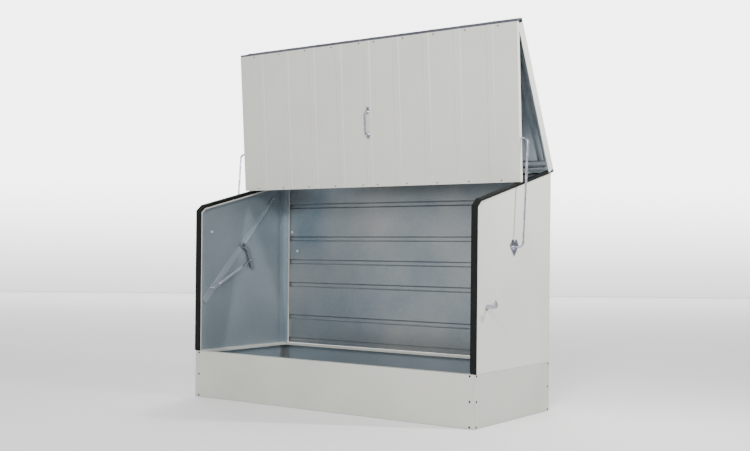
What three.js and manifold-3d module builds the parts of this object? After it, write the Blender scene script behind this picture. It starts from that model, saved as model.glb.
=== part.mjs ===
// Bicycle locker: a sheet steel cabinet on a plinth, a roof hinged along the back, and a front door
// that hangs from the roof's front edge and is carried by a cranked link at each side.
// Millimetres, +Z up, +Y to the back, +X to the right of someone who faces the door.
// The locker is modelled open, with the roof up and the door lifted over the opening.
// Profiles across the locker are lists of [y, z] points, in the frame of the piece that they belong to.

import * as THREE from 'three';
import Module from 'manifold-3d';
import { mergeVertices } from 'three/addons/utils/BufferGeometryUtils.js';

const wasm = await Module();
wasm.setup();

// Overall sizes
const cabinetWidth = 1920;
const cabinetDepth = 820;
const plinthHeight = 271;
const sheet = 1.2;
const plate = 3;
const seatGap = 0.3;
const bendRadius = 3;
const cutOverrun = 5;

// Plinth and floor
const plinthFlange = 35;
const plinthLip = 14;
const bracketLeg = 42;
const bracketThickness = 2;
const bracketMargin = 24;
const floorRibHalfWidth = 32;
const floorRibPitch = 600;
const floorRibEnd = 60;

// Side walls: the front edge stands a little behind the plinth, with a cut corner at the top
const wallSetback = 5;
const frontCornerHeight = 1100.6;
const cornerRun = 34.5;
const cornerRise = 29.4;
const topSlope = 13.86;
const wallFlange = 26;
const wallLip = 14;
const wallLipEnd = 24;

// Rubber edge trim on the side walls
const trimFront = 5.2;
const trimTop = 13;
const trimOverhang = 7;
const trimLegDepth = 5;
const trimLegThickness = 2.4;
const trimFootChamfer = 9;

// Rear wall: ribbed sheets, corner posts and the rail that carries the roof hinges
const rearRibDepth = 8;
const rearRibHalfWidth = 17;
const rearRibSlope = 8;
const topRibBelowEdge = 160;
const rearRibWideStep = 212;
const rearRibNarrowStep = 149;
const rearJointHeight = 725;
const rearLap = 10;
const postLeg = 44;
const postLip = 15;
const postThickness = 1.5;
const railDrop = 8;
const railInnerDepth = 40;
const railOuterDepth = 46;
const railWidth = 14;

// Roof and its hinges
const hingeBehind = 8.7;
const hingeAbove = 6.1;
const roofOpenAngle = 116.8;
const roofLift = 10;
const roofFlange = 58;
const roofSideClear = 9;
const roofFlangeRearEnd = 14;
const roofFlangeFrontEnd = 16;
const roofRearOverhang = 8;
const roofFrontOverhang = 4;
const beadDepth = 45.9;
const beadRadius = 10;
const beadTail = 34;
const hingePinRadius = 4;
const hingeKnuckleRadius = 8;
const hingeBaseHalfWidth = 21;
const hingeHalfWidth = 42;
const hingeSpread = 720;
const hingeLeafHeight = 42;
const hingeStrapLength = 26;
const hingeEndPlay = 0.5;
const roofRearRailStart = 30;
const roofRearRailWidth = 34;
const roofRailEnd = 72;
const roofRailDepth = 22;

// Front door, measured down from the bead that it hangs from
const closedOverhang = 16.7;
const closedBeadDrop = 217.41;
const doorHeight = 839;
const doorLean = 3.97;
const doorSideClear = 12;
const doorFlange = 25;
const noseRadius = 14;
const noseTail = 20;
const noseRearAngle = 122;
const doorRailHalfWidth = 920;
const doorRailWidth = 38;
const doorRailDepth = 20;
const doorTopRailStart = 24;
const doorHem = 14;

// Swages pressed into the door and the roof
const swagePitch = 202;
const swageWidth = 46;
const swageDepth = 3;
const swageSlope = 5;
const swagesEachSide = 4;

// Handle on the door
const handleDrop = 471;
const handleScrewSpacing = 157;
const handleGripSpacing = 126;
const handleStandOff = 34;
const handleRadius = 6.5;
const handleBend = 18;
const handleFootLength = 40;
const handleFootWidth = 22;
const handleFootInset = 5.5;

// Links, cranks and springs
const linkPivotY = -16;
const doorPinDrop = 610.2;
const doorPinBack = 2.1;
const rodRadius = 5.5;
const rodClearance = 0.6;
const linkStandOff = 53;
const linkBend = 22;
const nutRadius = 9;
const nutHeight = 5.4;
const crankKneeBack = 48;
const crankKneeDrop = 24;
const crankPinBack = 66;
const crankPinDrop = 88;
const crankTipBack = 92;
const crankTipDrop = 136;
const crankThickness = 4;
const crankHalfWidth = 14;
const crankHubRadius = 18;
const crankBend = 60;
const crankInset = 12.8;
const crankStudRadius = 7;
const crankStudLength = 4.6;
const braceAngle = 46;
const braceFrontMargin = 57;
const braceRearMargin = 127.3;
const braceWidth = 26;
const braceFootWidth = 40;
const braceFootEnd = 38;
const braceThickness = 2.6;
const braceLip = 6;
const anchorFromEnd = 103.4;
const anchorAcross = 13.6;
const anchorPlateWidth = 45;
const anchorPlateLength = 122;
const anchorStudRadius = 5;
const springInset = 27.3;
const springRadius = 8.5;
const wireRadius = 1.6;
const springHookLength = 54;
const springCurls = 30;
const springEndLoop = 7;
const springHookAngles = [40, 300];
const springLoopAngles = [240, 500];
const drawRodLength = 98.9;
const drawRodRadius = 4.5;
const drawRodPlate = 2.4;
const drawRodPlateHalfWidth = 6.5;
const drawRodPlateTip = 9;
const drawRodEyeRadius = 11;
const wireHoleRadius = 3;

// Brackets outside the side walls
const bracketHalfWidth = 50;
const bracketPointDrop = 49;
const bracketWingRise = 39;
const bracketWingOuter = 25;
const bracketWingInner = 10;
const bracketNotchRise = 23.4;
const bracketShoulderRise = 7.8;
const bossRadius = 13;
const bossHeight = 9;
const keeperReach = 416;
const keeperWidth = 24;
const keeperFoot = 28;
const keeperLip = 26;
const keeperEyeRise = 15;
const keeperEyeRadius = 5.5;

// Facets
const nutSides = 6;
const rodSides = 12;
const roundSides = 20;
const cornerSteps = 3;
const curlSteps = 8;
const wireSides = 5;

const radians = (degrees) => degrees * Math.PI / 180;

// Places worked out from the sizes
const halfWidth = cabinetWidth / 2;
const halfDepth = cabinetDepth / 2;
const wallFront = wallSetback - halfDepth;
const wallInner = halfWidth - sheet;
const wallRearTop = frontCornerHeight + cornerRise
  + (halfDepth - wallFront - cornerRun) * Math.tan(radians(topSlope));
const hingeAxis = [halfDepth + hingeBehind, wallRearTop + hingeAbove];
const roofHalfWidth = halfWidth + roofSideClear;
const doorHalfWidth = halfWidth + doorSideClear;
const alongAngle = (origin, length, angle) => [
  origin[0] + length * Math.cos(angle),
  origin[1] + length * Math.sin(angle),
];

// The closed roof reaches over the front edge, which gives its length.
const beadClosed = [-halfDepth - closedOverhang, hingeAxis[1] - closedBeadDrop];
const beadReach = Math.hypot(hingeAxis[0] - beadClosed[0], closedBeadDrop);
const roofLength = Math.sqrt(beadReach ** 2 - beadDepth ** 2);

// The door hangs from the bead. Open, it leans back by doorLean; closed, it stands upright.
const beadOpen = alongAngle(
  alongAngle(hingeAxis, roofLength, radians(roofOpenAngle)),
  beadDepth, radians(roofOpenAngle) + Math.PI / 2,
);
const lean = radians(doorLean);
const doorPinOpen = [
  beadOpen[0] + doorPinDrop * Math.sin(lean) + doorPinBack * Math.cos(lean),
  beadOpen[1] - doorPinDrop * Math.cos(lean) + doorPinBack * Math.sin(lean),
];
const doorPinClosed = [beadClosed[0] + doorPinBack, beadClosed[1] - doorPinDrop];

// The link's pivot lies as far from the door's pin when open as when closed.
const pinRise = doorPinOpen[1] - doorPinClosed[1];
const linkPivotZ = (
  (doorPinOpen[0] - linkPivotY) ** 2 + doorPinOpen[1] ** 2
  - (doorPinClosed[0] - linkPivotY) ** 2 - doorPinClosed[1] ** 2
) / (2 * pinRise);
const linkPivot = [linkPivotY, linkPivotZ];
const linkLength = Math.hypot(doorPinOpen[0] - linkPivotY, doorPinOpen[1] - linkPivotZ);
const linkOpenAngle = Math.atan2(doorPinOpen[1] - linkPivotZ, doorPinOpen[0] - linkPivotY);
const linkClosedAngle = 2 * Math.PI
  + Math.atan2(doorPinClosed[1] - linkPivotZ, doorPinClosed[0] - linkPivotY);

// The brace bar runs from near the front edge past the pivot, and the spring from an anchor low on it
// to the crank.
const braceDown = (linkPivotY - wallFront - braceFrontMargin) / Math.cos(radians(braceAngle));
const braceUp = (halfDepth - linkPivotY - braceRearMargin) / Math.cos(radians(braceAngle));
const onBrace = (along, across) => alongAngle(
  alongAngle(linkPivot, along, radians(braceAngle)),
  across, radians(braceAngle) + Math.PI / 2,
);
const springAnchor = onBrace(anchorFromEnd - braceDown, anchorAcross);
const crankEnd = [linkPivot[0] + crankPinBack, linkPivot[1] - crankPinDrop];
const springAngle = Math.atan2(crankEnd[1] - springAnchor[1], crankEnd[0] - springAnchor[0]);
const springReach = Math.hypot(crankEnd[0] - springAnchor[0], crankEnd[1] - springAnchor[1]);
const crankX = wallInner - crankInset;
const springX = wallInner - springInset;
const linkX = halfWidth + linkStandOff;
const legEnd = crankX - crankThickness - seatGap - nutHeight;

// Finishes
const finish = (color, roughness, metalness) => (
  new THREE.MeshStandardMaterial({ color, roughness, metalness })
);
const creamPaint = () => finish('#c8c9c3', 0.5, 0.1);
const galvanised = () => finish('#8e9ca6', 0.4, 0.7);
const zincPlate = () => finish('#b9bcc2', 0.25, 0.9);
const blackRubber = () => finish('#1c2320', 0.7, 0);
const darkSteel = () => finish('#3c3f45', 0.45, 0.6);
const springSteel = () => finish('#80858c', 0.35, 0.8);

// Outlines

function circle(centre, radius, sides, start = 0) {
  const step = 2 * Math.PI / sides;
  return Array.from({ length: sides }, (_, i) => alongAngle(centre, radius, start + i * step));
}

function arc(centre, radius, from, to, steps) {
  const step = (to - from) / steps;
  return Array.from({ length: steps + 1 }, (_, i) => alongAngle(centre, radius, from + i * step));
}

// Softens every inner corner of an open path.
function rounded(path, radius) {
  const points = [path[0]];
  for (let i = 1; i < path.length - 1; i += 1) {
    const [before, corner, after] = [path[i - 1], path[i], path[i + 1]].map((p) => new THREE.Vector2(...p));
    const reach = Math.min(radius, before.distanceTo(corner) / 2, after.distanceTo(corner) / 2);
    const start = before.clone().sub(corner).setLength(reach).add(corner);
    const end = after.clone().sub(corner).setLength(reach).add(corner);
    const bend = new THREE.QuadraticBezierCurve(start, corner, end);
    bend.getPoints(cornerSteps).forEach((p) => points.push([p.x, p.y]));
  }
  points.push(path[path.length - 1]);
  return points;
}

// Moves an open path sideways, to its left when the distance is positive. A list gives each stretch its own.
function offsetPath(path, distances) {
  const lines = path.slice(1).map((end, i) => {
    const start = path[i];
    const length = Math.hypot(end[0] - start[0], end[1] - start[1]);
    const along = [(end[0] - start[0]) / length, (end[1] - start[1]) / length];
    const distance = Array.isArray(distances) ? distances[i] : distances;
    const move = (p) => [p[0] - along[1] * distance, p[1] + along[0] * distance];
    return { start: move(start), end: move(end), along };
  });
  const points = [lines[0].start];
  for (let i = 1; i < lines.length; i += 1) {
    const [a, b] = [lines[i - 1], lines[i]];
    const cross = a.along[0] * b.along[1] - a.along[1] * b.along[0];
    const gap = [b.start[0] - a.end[0], b.start[1] - a.end[1]];
    const straight = Math.abs(cross) < Number.EPSILON * path.length;
    const step = straight ? 0 : (gap[0] * b.along[1] - gap[1] * b.along[0]) / cross;
    points.push([a.end[0] + a.along[0] * step, a.end[1] + a.along[1] * step]);
  }
  points.push(lines[lines.length - 1].end);
  return points;
}

// The outline of a bent sheet whose one face follows the path.
function folded(path, thickness, radius = bendRadius) {
  const face = rounded(path, radius);
  return [...face, ...offsetPath(face, thickness).reverse()];
}

// Points along a sheet with swages or ribs pressed into it at the given centres.
function pressed(from, to, level, depth, centres, width, slope) {
  const marks = centres.flatMap((centre) => [
    [centre - width / 2, level],
    [centre - width / 2 + slope, level + depth],
    [centre + width / 2 - slope, level + depth],
    [centre + width / 2, level],
  ]);
  return [[from, level], ...marks, [to, level]];
}

// Solids

const axisX = new THREE.Vector3(1, 0, 0);
const axisY = new THREE.Vector3(0, 1, 0);
const axisZ = new THREE.Vector3(0, 0, 1);

function extruded(outline, from, to) {
  const shape = new THREE.Shape(outline.map(([a, b]) => new THREE.Vector2(a, b)));
  const geometry = new THREE.ExtrudeGeometry(shape, { depth: to - from, bevelEnabled: false });
  return geometry.translate(0, 0, from);
}

// Extrudes a [y, z] outline along X.
function alongX(outline, from, to) {
  return extruded(outline, from, to).applyMatrix4(new THREE.Matrix4().makeBasis(axisY, axisZ, axisX));
}

// Extrudes an [x, z] outline along Y.
function alongY(outline, from, to) {
  const turn = new THREE.Matrix4().makeBasis(axisX, axisZ, axisY.clone().negate());
  return extruded(outline, -to, -from).applyMatrix4(turn);
}

// Extrudes an [x, y] outline along Z.
function alongZ(outline, from, to) {
  return extruded(outline, from, to);
}

function block(low, high) {
  const size = high.map((v, i) => v - low[i]);
  const middle = high.map((v, i) => (v + low[i]) / 2);
  return new THREE.BoxGeometry(...size).translate(...middle);
}

function discX(centre, radius, from, to, sides = roundSides) {
  return alongX(circle(centre, radius, sides, Math.PI / sides), from, to);
}

// A closed tube of the given radius round a line of points.
function tube(points, radius, sides, firstNormal) {
  const line = points.map((p) => new THREE.Vector3(...p));
  const positions = [];
  const indices = [];
  let normal = firstNormal.clone();
  line.forEach((point, i) => {
    const tangent = line[Math.min(i + 1, line.length - 1)].clone().sub(line[Math.max(i - 1, 0)]).normalize();
    normal = normal.clone().addScaledVector(tangent, -normal.dot(tangent)).normalize();
    const across = tangent.clone().cross(normal);
    const before = i > 0 ? point.clone().sub(line[i - 1]).normalize() : tangent;
    const spread = 1 / Math.max(tangent.dot(before), Math.SQRT1_2);
    const inPlane = i > 0 && i < line.length - 1
      ? line[i + 1].clone().sub(point).normalize().sub(before).normalize()
      : new THREE.Vector3();
    for (let k = 0; k < sides; k += 1) {
      const angle = 2 * Math.PI * k / sides;
      const ring = normal.clone().multiplyScalar(radius * Math.cos(angle));
      ring.addScaledVector(across, radius * Math.sin(angle));
      ring.addScaledVector(inPlane, ring.dot(inPlane) * (spread - 1));
      positions.push(...point.clone().add(ring).toArray());
    }
  });
  for (let i = 0; i < line.length - 1; i += 1) {
    for (let k = 0; k < sides; k += 1) {
      const a = i * sides + k;
      const b = i * sides + (k + 1) % sides;
      indices.push(a, b, b + sides, a, b + sides, a + sides);
    }
  }
  for (let k = 1; k < sides - 1; k += 1) {
    const last = (line.length - 1) * sides;
    indices.push(0, k + 1, k, last, last + k, last + k + 1);
  }
  const geometry = new THREE.BufferGeometry();
  geometry.setAttribute('position', new THREE.Float32BufferAttribute(positions, 3));
  geometry.setIndex(indices);
  geometry.computeVertexNormals();
  return geometry;
}

function solidOf(geometry) {
  const bare = geometry.clone();
  const extra = Object.keys(bare.attributes).filter((name) => name !== 'position');
  extra.forEach((name) => bare.deleteAttribute(name));
  const merged = mergeVertices(bare);
  return new wasm.Manifold(new wasm.Mesh({
    numProp: 3,
    vertProperties: new Float32Array(merged.attributes.position.array),
    triVerts: new Uint32Array(merged.index.array),
  }));
}

function geometryOf(solid) {
  const mesh = solid.getMesh();
  const geometry = new THREE.BufferGeometry();
  geometry.setAttribute('position', new THREE.Float32BufferAttribute(mesh.vertProperties, 3));
  geometry.setIndex([...mesh.triVerts]);
  geometry.computeVertexNormals();
  return geometry;
}

function joined(...geometries) {
  return geometryOf(geometries.map(solidOf).reduce((sum, next) => sum.add(next)));
}

function cut(geometry, ...tools) {
  return geometryOf(tools.map(solidOf).reduce((rest, tool) => rest.subtract(tool), solidOf(geometry)));
}

function common(geometry, other) {
  return geometryOf(solidOf(geometry).intersect(solidOf(other)));
}

// The same piece for the other side of the locker.
function mirrored(geometry) {
  const flipped = geometry.index ? geometry.toNonIndexed() : geometry.clone();
  flipped.scale(-1, 1, 1);
  const position = flipped.attributes.position;
  for (let i = 0; i < position.count; i += 3) {
    const second = new THREE.Vector3().fromBufferAttribute(position, i + 1);
    const third = new THREE.Vector3().fromBufferAttribute(position, i + 2);
    position.setXYZ(i + 1, ...third.toArray());
    position.setXYZ(i + 2, ...second.toArray());
  }
  flipped.computeVertexNormals();
  return flipped;
}

// Scene graph

const locker = new THREE.Group();
const cabinet = new THREE.Group();
const roof = new THREE.Group();
const door = new THREE.Group();
const links = new THREE.Group();
const springs = new THREE.Group();
roof.position.set(0, ...hingeAxis);
roof.rotation.x = radians(roofOpenAngle);
door.position.set(0, ...beadOpen);
door.rotation.x = lean;
links.position.set(0, ...linkPivot);
links.rotation.x = linkOpenAngle;
springs.position.set(0, ...springAnchor);
springs.rotation.x = springAngle;
locker.add(cabinet, roof, door, links, springs);

function add(group, name, geometry, material) {
  const mesh = new THREE.Mesh(geometry, material());
  mesh.name = name;
  group.add(mesh);
  return mesh;
}

// Adds a right-hand piece and its mirror image.
function addPair(group, name, geometry, material) {
  add(group, `${name}_right`, geometry, material);
  add(group, `${name}_left`, mirrored(geometry), material);
}

// Plinth: four folded panels with mitred corners, in their own frame: x along, y inwards from the outer face.

function plinthPanel(length) {
  const section = folded([
    [plinthFlange, 0],
    [0, 0],
    [0, plinthHeight],
    [plinthFlange, plinthHeight],
    [plinthFlange, plinthHeight - plinthLip],
  ], -sheet);
  const bar = alongX(section, -length / 2, length / 2);
  const reach = plinthFlange + cutOverrun;
  const mitre = alongZ([
    [seatGap - length / 2 - cutOverrun, -cutOverrun],
    [length / 2 - seatGap + cutOverrun, -cutOverrun],
    [length / 2 - seatGap - reach, reach],
    [seatGap - length / 2 + reach, reach],
  ], -cutOverrun, plinthHeight + cutOverrun);
  return common(bar, mitre);
}

function addPlinth() {
  const sides = [
    ['plinth_front', cabinetWidth, [0, -halfDepth], 0],
    ['plinth_right', cabinetDepth, [halfWidth, 0], Math.PI / 2],
    ['plinth_rear', cabinetWidth, [0, halfDepth], Math.PI],
    ['plinth_left', cabinetDepth, [-halfWidth, 0], -Math.PI / 2],
  ];
  sides.forEach(([name, length, [x, y], turn]) => {
    const panel = add(cabinet, name, plinthPanel(length), creamPaint);
    panel.position.set(x, y, 0);
    panel.rotation.z = turn;
  });
}

// Angle brackets inside the plinth's corners, in the corner's own frame: both legs run inwards.

function addCornerBrackets() {
  const inset = sheet + seatGap;
  const angle = folded([
    [inset + bracketLeg, inset],
    [inset, inset],
    [inset, inset + bracketLeg],
  ], -bracketThickness);
  const bracket = alongZ(angle, bracketMargin, plinthHeight - bracketMargin);
  const corners = [
    ['front_left', -1, -1, 0],
    ['front_right', 1, -1, Math.PI / 2],
    ['rear_right', 1, 1, Math.PI],
    ['rear_left', -1, 1, -Math.PI / 2],
  ];
  corners.forEach(([name, sideX, sideY, turn]) => {
    const mesh = add(cabinet, `corner_bracket_${name}`, bracket.clone(), galvanised);
    mesh.position.set(sideX * halfWidth, sideY * halfDepth, 0);
    mesh.rotation.z = turn;
  });
}

// Floor: a sheet on the plinth's lower flanges, with ribs pressed down to the ground.

function addFloor() {
  const top = 2 * sheet + seatGap;
  const underside = sheet + seatGap;
  const edgeX = halfWidth - sheet - bendRadius;
  const edgeY = halfDepth - sheet - bendRadius;
  const ribEnd = halfDepth - floorRibEnd;
  const ribCentres = [-floorRibPitch, 0, floorRibPitch];
  const flat = block([-edgeX, -edgeY, underside], [edgeX, edgeY, top]);
  const ribs = ribCentres.map((x) => {
    const path = pressed(
      x - floorRibHalfWidth - sheet, x + floorRibHalfWidth + sheet,
      underside, -underside, [x], 2 * floorRibHalfWidth, underside,
    );
    return alongY([...path, ...offsetPath(path, sheet).reverse()], -ribEnd, ribEnd);
  });
  const slots = ribCentres.map((x) => block(
    [x - floorRibHalfWidth, -ribEnd, -cutOverrun],
    [x + floorRibHalfWidth, ribEnd, top + cutOverrun],
  ));
  add(cabinet, 'floor_pan', joined(cut(flat, ...slots), ...ribs), galvanised);
}

// Side walls and their rubber edge trim

const wallPath = [
  [halfDepth, plinthHeight + seatGap],
  [wallFront, plinthHeight + seatGap],
  [wallFront, frontCornerHeight],
  [wallFront + cornerRun, frontCornerHeight + cornerRise],
  [halfDepth, wallRearTop],
];

function addSideWalls() {
  const skin = alongX(wallPath, wallInner, halfWidth);
  const flange = [...wallPath, ...offsetPath(wallPath, -sheet).reverse()];
  const returns = alongX(flange, halfWidth - wallFlange, halfWidth);
  // The flange ends in a lip that runs back into the cabinet, clear of the rear corner.
  const edge = wallPath.slice(1);
  const lipOutline = [...edge, ...offsetPath(edge, -wallLip).reverse()];
  const lip = cut(
    alongX(lipOutline, halfWidth - wallFlange, halfWidth - wallFlange + sheet),
    block(
      [halfWidth - wallFlange - cutOverrun, halfDepth - wallLipEnd, plinthHeight],
      [halfWidth, halfDepth + cutOverrun, wallRearTop + cutOverrun],
    ),
  );
  const hole = discX(linkPivot, rodRadius + rodClearance, wallInner - cutOverrun, halfWidth + cutOverrun);
  addPair(cabinet, 'side_wall', cut(joined(skin, returns, lip), hole), creamPaint);
}

function addEdgeTrims() {
  const edge = wallPath.slice(1);
  const inner = offsetPath(edge, seatGap);
  const outer = offsetPath(edge, [trimFront, (trimFront + trimTop) / 2, trimTop]);
  inner[0][1] += seatGap;
  outer[0][1] += seatGap + trimFootChamfer;
  const inside = halfWidth - wallFlange - seatGap;
  const body = alongX([...outer, ...inner.reverse()], inside, halfWidth + trimOverhang);
  // A short leg hangs over the edge of the lip, on the inside.
  const foot = offsetPath(edge, -trimLegDepth);
  foot[0][1] += seatGap;
  const leg = cut(
    alongX([...outer, ...foot.reverse()], inside - trimLegThickness, inside),
    block(
      [inside - trimLegThickness - cutOverrun, halfDepth - wallLipEnd, plinthHeight],
      [inside + cutOverrun, halfDepth + cutOverrun, wallRearTop + trimTop + cutOverrun],
    ),
  );
  addPair(cabinet, 'edge_trim', joined(body, leg), blackRubber);
}

// Rear wall

const rearFace = halfDepth - rearRibDepth - sheet - seatGap;

function rearRibs(from, to) {
  const steps = [rearRibWideStep, rearRibNarrowStep, rearRibNarrowStep];
  const centres = [];
  let height = wallRearTop - topRibBelowEdge;
  for (let i = 0; height > plinthHeight; i += 1) {
    centres.push(height);
    height -= steps[i % steps.length];
  }
  return centres.filter((z) => z - rearRibHalfWidth > from && z + rearRibHalfWidth < to).reverse();
}

function rearSheet(face, from, to) {
  const ribs = rearRibs(from, to);
  const path = pressed(from, to, face, rearRibDepth, ribs, 2 * rearRibHalfWidth, rearRibSlope)
    .map(([z, y]) => [y, z]);
  const halfLength = wallInner - seatGap;
  return alongX([...path, ...offsetPath(path, sheet).reverse()], -halfLength, halfLength);
}

function addRearWall() {
  const foot = plinthHeight + sheet + 2 * seatGap;
  const top = wallRearTop - railDrop - plate;
  const lapped = rearFace + sheet + seatGap;
  add(cabinet, 'rear_wall_lower', rearSheet(rearFace, foot, rearJointHeight + rearLap), galvanised);
  add(cabinet, 'rear_wall_upper', rearSheet(lapped, rearJointHeight - rearLap, top), galvanised);

  const postFace = rearFace - sheet - seatGap;
  const postSide = wallInner - seatGap;
  const post = folded([
    [postSide - postLeg, postFace - postLip],
    [postSide - postLeg, postFace],
    [postSide, postFace],
    [postSide, postFace - postLeg],
  ], -postThickness);
  const postTop = wallRearTop - railDrop - railInnerDepth - seatGap;
  addPair(cabinet, 'rear_post', alongZ(post, foot, postTop), creamPaint);

  const railTop = wallRearTop - railDrop;
  const railInner = lapped + sheet / 2 - railWidth / 2;
  const rail = folded([
    [railInner, railTop - railInnerDepth],
    [railInner, railTop],
    [railInner + railWidth, railTop],
    [railInner + railWidth, railTop - railOuterDepth],
  ], -postThickness);
  add(cabinet, 'rear_top_rail', alongX(rail, seatGap - postSide, postSide - seatGap), galvanised);
  return railInner + railWidth;
}

// Roof hinges: a leaf with one knuckle on the rail, a strap with two knuckles under the roof, and a pin

const hingePlaces = [['left', -hingeSpread], ['centre', 0], ['right', hingeSpread]];

function knuckle(centre, from, to) {
  return discX(centre, hingeKnuckleRadius, from, to);
}

function knuckleBore(centre, from, to) {
  return discX(centre, hingePinRadius + seatGap, from - cutOverrun, to + cutOverrun, rodSides);
}

function addHingeBases(railFace) {
  const leafFace = railFace + seatGap;
  const leafTop = hingeAxis[1];
  const leafFoot = wallRearTop - railDrop - hingeLeafHeight;
  const web = [
    [leafFace, leafFoot],
    [leafFace, leafTop],
    [hingeAxis[0], leafTop],
    [hingeAxis[0], leafTop - hingeKnuckleRadius / 2],
    [leafFace + plate, leafTop - 2 * hingeKnuckleRadius],
    [leafFace + plate, leafFoot],
  ];
  const [from, to] = [-hingeBaseHalfWidth, hingeBaseHalfWidth];
  const base = cut(
    joined(alongX(web, from, to), knuckle(hingeAxis, from, to)),
    knuckleBore(hingeAxis, from, to),
  );
  const pin = discX(hingeAxis, hingePinRadius, -hingeHalfWidth, hingeHalfWidth, rodSides);
  hingePlaces.forEach(([name, x]) => {
    add(cabinet, `hinge_base_${name}`, base.clone().translate(x, 0, 0), zincPlate);
    add(cabinet, `hinge_pin_${name}`, pin.clone().translate(x, 0, 0), zincPlate);
  });
}

// Roof, in its own frame: the hinge axis is the origin, y runs along the sheet to the front
// and z points into the locker.

const swageCentres = Array.from(
  { length: 2 * swagesEachSide + 1 },
  (_, i) => (i - swagesEachSide) * swagePitch,
);

function swaged(halfLength, level) {
  return pressed(-halfLength, halfLength, level, -swageDepth, swageCentres, swageWidth, swageSlope);
}

function addRoof() {
  const path = swaged(roofHalfWidth, -roofLift);
  const edge = roofFlange - roofLift;
  const section = [[-roofHalfWidth, edge], ...path, [roofHalfWidth, edge]];
  const skin = alongY(
    [...section, ...offsetPath(section, sheet).reverse()],
    -roofRearOverhang, roofLength + roofFrontOverhang,
  );
  const trims = [-1, 1].flatMap((side) => [
    [-roofRearOverhang - cutOverrun, roofFlangeRearEnd],
    [roofLength - roofFlangeFrontEnd, roofLength + roofFrontOverhang + cutOverrun],
  ].map(([from, to]) => block(
    [side * roofHalfWidth - cutOverrun, from, sheet - roofLift],
    [side * roofHalfWidth + cutOverrun, to, edge + cutOverrun],
  )));
  add(roof, 'roof_panel', cut(skin, ...trims), creamPaint);

  const under = sheet + seatGap - roofLift;
  const beadEnd = roofHalfWidth - sheet - seatGap;
  const tail = block(
    [-beadEnd, roofLength - beadTail, under],
    [beadEnd, roofLength, under + sheet],
  );
  const web = block([-beadEnd, roofLength - sheet, under], [beadEnd, roofLength, beadDepth]);
  const bead = discX([roofLength, beadDepth], beadRadius, -beadEnd, beadEnd);
  add(roof, 'roof_front_bead', joined(tail, web, bead), galvanised);

  const railPath = (from, to) => [
    [to, under + roofRailDepth / 2],
    [to, under],
    [from, under],
    [from, under + roofRailDepth],
  ];
  const inner = halfWidth - wallFlange - trimFront;
  const sideRail = alongY(
    folded(railPath(inner - roofRearRailWidth, inner), -sheet),
    roofRearRailStart + roofRearRailWidth + seatGap, roofLength - roofRailEnd,
  );
  addPair(roof, 'roof_side_rail', sideRail, galvanised);
  const rearRail = alongX(
    folded(railPath(roofRearRailStart, roofRearRailStart + roofRearRailWidth), -sheet),
    -inner, inner,
  );
  add(roof, 'roof_rear_rail', rearRail, galvanised);
}

function addHingeStraps() {
  const under = sheet + seatGap - roofLift;
  const arm = [
    [-hingePinRadius, under],
    [hingeStrapLength, under],
    [hingeStrapLength, under + plate],
    [hingeKnuckleRadius, under + plate],
    [hingePinRadius, 0],
    [-hingePinRadius, 0],
  ];
  const [from, to] = [hingeBaseHalfWidth + hingeEndPlay, hingeHalfWidth - hingeEndPlay];
  const half = cut(
    joined(alongX(arm, from, to), knuckle([0, 0], from, to)),
    knuckleBore([0, 0], from, to),
  );
  const bridge = alongX([
    [hingeKnuckleRadius + seatGap + plate, under],
    [hingeStrapLength, under],
    [hingeStrapLength, under + plate],
    [hingeKnuckleRadius + seatGap + plate, under + plate],
  ], -to, to);
  const strap = joined(half, mirrored(half), bridge);
  hingePlaces.forEach(([name, x]) => {
    add(roof, `hinge_strap_${name}`, strap.clone().translate(x, 0, 0), zincPlate);
  });
}

// Door, in its own frame: the bead's axis is the origin, z runs up the door and y to the back.

function addDoorPanel() {
  const path = swaged(doorHalfWidth, -noseRadius);
  const edge = doorFlange - noseRadius;
  const section = [[-doorHalfWidth, edge], ...path, [doorHalfWidth, edge]];
  const skin = alongZ([...section, ...offsetPath(section, sheet).reverse()], -doorHeight, -sheet);
  const hem = block(
    [-doorHalfWidth + sheet / 2, sheet / 2 - noseRadius, -doorHeight],
    [doorHalfWidth - sheet / 2, 2 * sheet - noseRadius, doorHem - doorHeight],
  );
  const pinHoles = [-1, 1].map((side) => discX(
    [doorPinBack, -doorPinDrop], rodRadius + rodClearance,
    side * doorHalfWidth - cutOverrun, side * doorHalfWidth + cutOverrun,
  ));
  add(door, 'door_panel', cut(joined(skin, hem), ...pinHoles), creamPaint);
}

function addDoorNose() {
  const behind = 2 * sheet + seatGap - noseRadius;
  const turn = arc([0, 0], noseRadius, Math.PI, radians(noseRearAngle), roundSides / 2);
  const path = [[behind - sheet, -noseTail], [behind - sheet, -sheet], ...turn];
  const outline = [...path, ...offsetPath(path, -sheet).reverse()];
  const nose = alongX(outline, -doorHalfWidth, doorHalfWidth);
  const tailEnds = [-1, 1].map((side) => block(
    [side * doorHalfWidth - sheet - seatGap, -noseRadius, -noseTail - cutOverrun],
    [side * doorHalfWidth + sheet + seatGap, 0, seatGap],
  ));
  add(door, 'door_nose', cut(nose, ...tailEnds), galvanised);
}

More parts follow.
